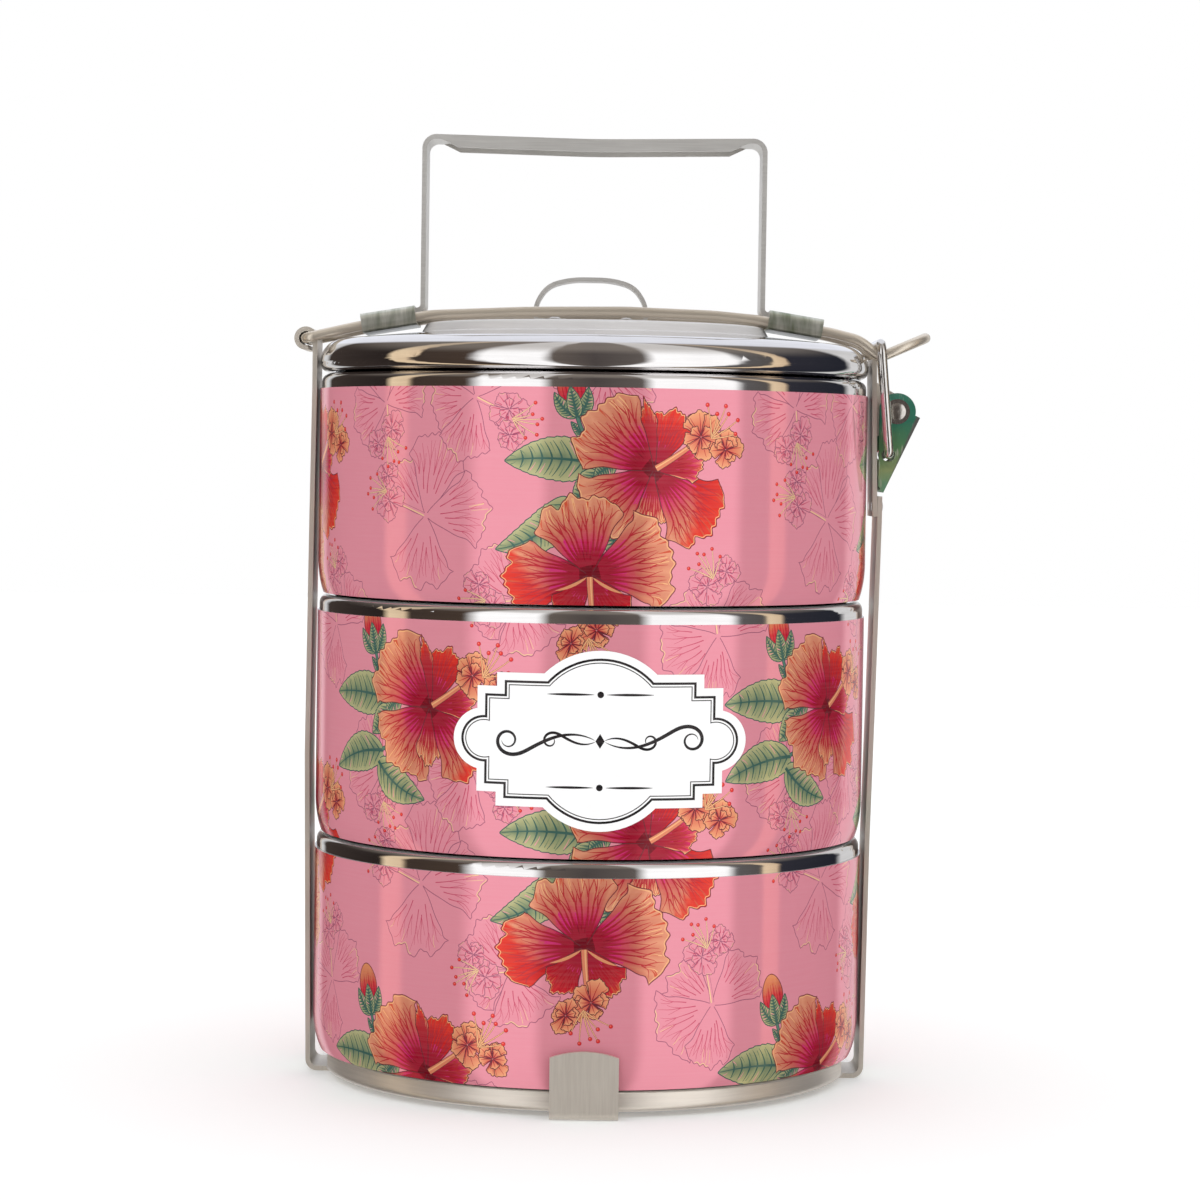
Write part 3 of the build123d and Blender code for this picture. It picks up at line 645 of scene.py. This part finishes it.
def drawn(shapes, borders, step, ground):
    """Triangles over the borders, cut along all the shapes, and their corners' colours."""
    points, edges, count = [], [], 0
    for outline, inner in [(b, b[:0]) for b in borders] + [(o, i) for o, _, i in shapes]:
        run = np.arange(count, count + len(outline))
        edges += zip(run.tolist(), np.roll(run, -1).tolist())
        points += [outline, inner]
        count += len(outline) + len(inner)
    reach = np.concatenate(borders)
    low = complex(reach.real.min(), reach.imag.min())
    high = complex(reach.real.max(), reach.imag.max())
    places, faces = meshed(np.concatenate(points + [grid(low, high, step)]), edges)
    middle = places[faces].mean(1)
    kept = np.any([within(middle, border) for border in borders], 0)
    faces, middle = faces[kept], middle[kept]
    colours = np.empty(faces.shape + (3,))
    colours[:] = ground
    owner = np.full(len(faces), -1)
    for i, (outline, _, _) in enumerate(shapes):
        near = np.flatnonzero((middle.real > outline.real.min()) & (middle.real < outline.real.max()) &
                              (middle.imag > outline.imag.min()) & (middle.imag < outline.imag.max()))
        if len(near):
            owner[near[within(middle[near], outline)]] = i
    for i in np.unique(owner[owner >= 0]):
        paint = shapes[i][1]
        mine = owner == i
        colours[mine] = paint(places[faces[mine]]) if callable(paint) else paint
    return places, faces, colours


def rolled(places, hub_z, depth, share):
    """Places on the flat print as points round a bowl, sunk by depth, and their outward directions."""
    tilt = np.arcsin(np.clip((hub_z - places.imag) / CORNER_R, 0, 1))
    radius = WALL_R - depth - share * (CORNER_R - depth) * (1 - np.cos(tilt))
    turn = places.real / WALL_R
    lean = np.arctan(share * np.tan(tilt))
    points = np.stack([radius * np.sin(turn), -radius * np.cos(turn), places.imag], -1)
    out = np.stack([np.sin(turn) * np.cos(lean), -np.cos(turn) * np.cos(lean), -np.sin(lean)], -1)
    return points, out


def rim_runs(faces):
    """The directed edges that only one triangle has."""
    edges = np.concatenate([faces[:, [0, 1]], faces[:, [1, 2]], faces[:, [2, 0]]])
    order = np.sort(edges, 1)
    _, first, count = np.unique(order, axis=0, return_index=True, return_counts=True)
    return edges[first[count == 1]]


def sheet_mesh(shapes, borders, step, hub_z, lift, thickness, ground):
    """A thin sheet over a bowl: points, faces, corner colours and corner directions.

    It has a face, a back and a rim, but isn't closed: the back's edge has points of its own
    that the rim doesn't share, so hairline gaps are left along it.
    """
    front, faces, colours = drawn(shapes, borders, step, ground)
    used, faces = np.unique(faces, return_inverse=True)
    front, faces = front[used], faces.reshape(-1, 3)
    edges = rim_runs(faces)
    ring = np.unique(edges)
    low = complex(front.real.min(), front.imag.min())
    high = complex(front.real.max(), front.imag.max())
    ring_at = {place: i for i, place in enumerate(front[ring])}
    pairs = [(ring_at[front[a]], ring_at[front[b]]) for a, b in edges]
    back, back_faces = meshed(np.concatenate([front[ring], grid(low, high, 3.0)]), pairs)
    middle = back[back_faces].mean(1)
    back_faces = back_faces[np.any([within(middle, border) for border in borders], 0)]
    used, back_faces = np.unique(back_faces, return_inverse=True)
    back, back_faces = back[used], back_faces.reshape(-1, 3)
    back_at = {place: i + len(front) for i, place in enumerate(back)}

    top, out = rolled(front, hub_z, -lift, FOOT_SHARE)
    under, inward = rolled(back, hub_z, thickness - lift, 1.0)
    opposite = np.array([[back_at[front[a]], back_at[front[b]]] for a, b in edges])
    sides = np.concatenate([np.stack([edges[:, 1], edges[:, 0], opposite[:, 0]], -1),
                            np.stack([edges[:, 1], opposite[:, 0], opposite[:, 1]], -1)])
    points = np.concatenate([top, under])
    all_faces = np.concatenate([faces, back_faces[:, ::-1] + len(front), sides])
    a, b, c = (points[sides[:, i]] for i in range(3))
    flat = np.cross(b - a, c - a)
    flat /= np.maximum(np.linalg.norm(flat, axis=1, keepdims=True), 1e-12)
    toward = np.concatenate([out[faces], -inward[back_faces[:, ::-1]],
                             np.repeat(flat[:, None], 3, 1)])
    paint = np.full(all_faces.shape + (3,), 205.0)
    paint[:len(faces)] = colours
    return points, all_faces, paint, toward


def sheet_object(name, made, turn, finish, node, body):
    """The sheet as a piece, turned by a number of degrees round the bowls' axis."""
    points, faces, paint, toward = made
    spin = np.array(Matrix.Rotation(math.radians(turn), 3, "Z")).T
    mesh = bpy.data.meshes.new(name)
    mesh.from_pydata((points @ spin * MM).tolist(), [], faces.tolist())
    colour = mesh.color_attributes.new("print", "BYTE_COLOR", "CORNER")
    opaque = np.concatenate([paint / 255, np.ones(paint.shape[:2] + (1,))], -1)
    colour.data.foreach_set("color_srgb", opaque.ravel())
    mesh.shade_smooth()
    mesh.normals_split_custom_set((toward.reshape(-1, 3) @ spin).tolist())
    mesh.materials.append(finish)
    piece = placed(name, mesh)
    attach(piece, body)
    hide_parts(node)


def shifted(paint, shift):
    """A paint moved along with its outline."""
    return (lambda places: paint(places - shift)) if callable(paint) else paint


def laid_out(design, low, high):
    """The repeats of the design that reach into a rectangle."""
    found = []
    for across in range(-1, 4):
        for up in range(-2, 1):
            shift = complex(across * REPEAT, up * DROP)
            for outline, paint, inner in design:
                place = outline + shift
                if (place.real.max() > low.real and place.real.min() < high.real and
                        place.imag.max() > low.imag and place.imag.min() < high.imag):
                    found.append((place, shifted(paint, shift), inner + shift))
    return found


def bare_corner(s):
    """How far the bottom film's foot rises beside the side straps, so that steel shows there."""
    off = np.abs(np.abs(np.degrees(s / WALL_R)) - 90)
    return 5.5 * (0.5 + 0.5 * np.cos(np.pi * np.clip((off - 4) / 11, 0, 1)))


def wraps():
    """The printed film of each bowl, in sectors."""
    design = print_design()
    finish = film_finish("printed_film", 0.22, 0.055)
    width = REPEAT / 2
    for tier in ("bottom", "middle", "top"):
        box = [corner.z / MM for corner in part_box(f"wrap_{tier}")]
        hub_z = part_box(f"bowl_{tier}")[0].z / MM + CORNER_R - FILM_T
        made = {}
        for k in range(SECTORS):
            bare = tier == "bottom" and k in STRAP_SECTORS
            kind = (k % 2, bare)
            if kind not in made:
                s = np.linspace((k - 0.5) * width, (k + 0.5) * width, 61 if bare else 2)
                foot = box[0] + (bare_corner(s) if bare else 0)
                border = np.concatenate([s + 1j * foot, (s[::-1] + 1j * box[1])[[0, -1]]])
                shapes = laid_out(design, border[0].real + 1j * box[0], border[-2])
                made[kind] = k, sheet_mesh(shapes, [border], 2.2, hub_z, 0.0, FILM_T, PINK)
            first, sheet = made[kind]
            sheet_object(f"film_{tier}_{k}", sheet, (k - first) * 360 / SECTORS, finish,
                         f"wrap_{tier}", f"bowl_{tier}")


# ---------------------------------------------------------------- name label

LABEL_STEPS = ((58.6, 25.2), (49.3, 31.8))   # the two crossed rectangles
LABEL_LOBE = (27.55, 7.4)                    # round ends: middle, radius
LABEL_CAP = (2.7, 18.8)                      # arched top and bottom: middle, radius
LABEL_T = 0.15
RULE_UP = 11.05                              # the dotted rules, above and below the middle
BLACK, WHITE = (22, 22, 24), (252, 252, 252)


def label_outlines(inset):
    """The outlines that together make the label's shape, all moved in by an inset."""
    found = []
    for width, height in LABEL_STEPS:
        x, z = width / 2 - inset, height / 2 - inset
        across = np.linspace(-x, x, 40)
        found.append(np.concatenate([across - 1j * z, across[::-1] + 1j * z]))
    for side in (-1, 1):
        found.append(side * LABEL_LOBE[0] + (LABEL_LOBE[1] - inset) * ring(5))
        found.append(side * 1j * LABEL_CAP[0] + (LABEL_CAP[1] - inset) * ring(5))
    return found


def scroll(start, size, turns):
    """A line that bows one way and then curls up the other way."""
    t = np.linspace(0, 1, 90)
    bow = 60 * np.sin(np.pi / 2 * np.minimum(t / 0.45, 1))
    curl = turns * 360 * np.clip((t - 0.45) / 0.55, 0, 1) ** 1.7
    return start + size * np.cumsum(heading(1) ** (bow - curl - 30)) / len(t)


def label():
    """The white label on the middle bowl, with a double frame, two dotted rules and a scroll."""
    sheet = Sheet()
    for inset, paint in ((1.84, BLACK), (2.42, WHITE), (2.8, BLACK), (3.04, WHITE)):
        for outline in label_outlines(inset):
            sheet.fill(outline, paint)
    for up in (-RULE_UP, RULE_UP):
        sheet.fill(1j * up + 0.79 * ring(20), BLACK)
        for side in (-1, 1):
            sheet.swash(1j * up + side * np.linspace(1.5, 12.7, 12), 0.27, BLACK)
    for side in (-1, 1):
        for size, turns in ((38.0, 1.3), (-19.0, 1.0)):
            line = scroll(0.9, abs(size), turns)
            line = line if size > 0 else np.conj(line)
            sheet.swash(line if side > 0 else -line, 0.42 if size > 0 else 0.3, BLACK)
    sheet.fill(1.1 * heading(90) ** np.arange(4) * np.array([1, 1.6, 1, 1.6]), BLACK)

    low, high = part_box("name_label")
    heart = complex(low.x + high.x, low.z + high.z) / 2 / MM

    def wrapped(outline):
        """A flat outline as lengths along the wall, so that it looks flat from the front."""
        flat = outline + heart
        return WALL_R * np.arcsin(flat.real / (WALL_R + LABEL_T)) + 1j * flat.imag

    shapes = [(wrapped(outline), paint, inner) for outline, paint, inner in sheet.shapes]
    borders = [wrapped(outline) for outline in label_outlines(0)]
    made = sheet_mesh(shapes, borders, 2.5, 0.0, LABEL_T, LABEL_T, WHITE)
    sheet_object("label_sheet", made, 0, film_finish("label_film", 0.0, 0.16), "name_label",
                 "bowl_middle")


# ---------------------------------------------------------------- studio

CAMERA_AT = (0, -0.880, 0.1563)
CAMERA_PAN, CAMERA_DOWN, CAMERA_ROLL = -0.148, 2.29, 0.855    # degrees
LENS, SENSOR = 102.9, 36                                      # millimetres


def camera():
    """The front view, from a little above the middle, looking slightly down and held askew."""
    data = bpy.data.cameras.new("camera")
    data.sensor_width = SENSOR
    data.lens = LENS
    data.clip_start, data.clip_end = 0.05, 20
    cam = placed("camera", data)
    pan = Matrix.Rotation(math.radians(CAMERA_PAN), 4, "Z")
    tilt = Matrix.Rotation(math.radians(90 - CAMERA_DOWN), 4, "X")
    roll = Matrix.Rotation(math.radians(CAMERA_ROLL), 4, "Z")
    cam.matrix_world = Matrix.Translation(CAMERA_AT) @ (pan @ tilt @ roll)
    bpy.context.scene.camera = cam


# what the steel mirrors, by direction round the object in degrees, 0 in front and 90 to its right
ROOM = [
    (-180, 0.62), (-150, 0.55), (-145, srgb(58, 50, 46)), (-97, srgb(40, 34, 32)),
    (-93, srgb(225, 202, 168)), (-84, srgb(215, 190, 158)), (-81, srgb(60, 50, 44)),
    (-54, srgb(66, 54, 46)), (-47, 1.0), (-22, 1.0), (-17, srgb(96, 88, 82)), (0, srgb(74, 68, 66)),
    (20, srgb(92, 86, 82)), (25, 1.0), (60, 1.0), (65, srgb(90, 88, 88)), (77, srgb(82, 78, 76)),
    (79, srgb(222, 198, 165)), (86, srgb(205, 180, 150)), (88, srgb(44, 44, 52)),
    (129, srgb(34, 36, 44)), (135, 0.6), (156, 0.55), (160, 0.3), (180, 0.62),
]
ROOM_LIGHT = 1.35        # strength of what the steel mirrors
FRONT_VIEW = (0, 1, -0.04)    # the front camera's viewing direction
FACING_UP = 0.68         # seen from the front, steel that faces up more than this mirrors a bright
                         # ceiling; from any other side this picks out the wrong steel
SOFT_LIGHT = 1.05        # from all round, for what isn't mirrored
FLOOR_HALF = 3.0         # half the floor's side
FLOOR_GLOW = 0.15


def studio():
    """White to the eye, soft light for shading, and dark and bright panels for the steel to mirror."""
    scene = bpy.context.scene
    scene.view_settings.view_transform = "Standard"
    world = bpy.data.worlds.new("studio")
    scene.world = world
    world.use_nodes = True
    world.node_tree.nodes.clear()
    n = Nodes(world.node_tree)
    way = n.add("TexCoord", out=0)
    x, y, z = n.split(way)
    turn = n.math("ARCTAN2", x, n.math("MULTIPLY", y, -1.0))
    turn = n.add("MapRange", i0=turn, i1=-math.pi, i2=math.pi)
    walls = n.ramp(turn, [((angle + 180) / 360, colour) for angle, colour in ROOM])
    slope = n.add("VectorMath", operation="SUBTRACT", i0=way, i1=FRONT_VIEW)
    lean = n.split(n.add("VectorMath", operation="NORMALIZE", i0=slope))[2]
    bright = n.add("MapRange", interpolation_type="SMOOTHSTEP", i0=lean, i1=FACING_UP - 0.04,
                   i2=FACING_UP + 0.04)
    dusk = n.add("MapRange", interpolation_type="SMOOTHSTEP", i0=z, i1=0.3, i2=0.8, i4=0.6)
    walls = n.mix(dusk, walls, srgb(138, 130, 122))
    room = n.mix(bright, walls, (0.72, 0.74, 0.80, 1))
    mirrored = n.add("Background", Color=room, Strength=ROOM_LIGHT)
    soft = n.add("Background", Color=(1, 1, 1, 1), Strength=SOFT_LIGHT)
    white = n.add("Background", Color=(1, 1, 1, 1), Strength=1.0)
    seen, glossy = (n.add("LightPath", out=i) for i in (0, 3))
    unseen = n.add("MixShader", i0=glossy, i1=soft, i2=mirrored)
    n.add("OutputWorld", out=None, Surface=n.add("MixShader", i0=seen, i1=unseen, i2=white))


def floor():
    """The white floor: it takes the soft shadow, and the steel doesn't mirror it."""
    mesh = bpy.data.meshes.new("floor")
    corners = ((-1, -1), (1, -1), (1, 1), (-1, 1))
    mesh.from_pydata([(x * FLOOR_HALF, y * FLOOR_HALF, 0) for x, y in corners], [], [(0, 1, 2, 3)])
    made, n, shader, _ = material("floor_white")
    n.put(shader.inputs["Base Color"], (0.90, 0.92, 0.92, 1))
    n.put(shader.inputs["Roughness"], 0.9)
    n.put(shader.inputs["Emission Color"], (1, 1, 1, 1))
    n.put(shader.inputs["Emission Strength"], FLOOR_GLOW)
    mirrored = n.add("LightPath", out=3)
    clear = n.add("BsdfTransparent")
    both = n.add("MixShader", i0=mirrored, i1=shader.outputs[0], i2=clear)
    n.put(made.node_tree.nodes["Material Output"].inputs["Surface"], both)
    mesh.materials.append(made)
    placed("floor", mesh)


camera()
studio()
floor()
for node, finish in finishes().items():
    NODES[node].material_slots[0].material = finish
NODES["lever"].material_slots[0].material = plated()
wraps()
label()
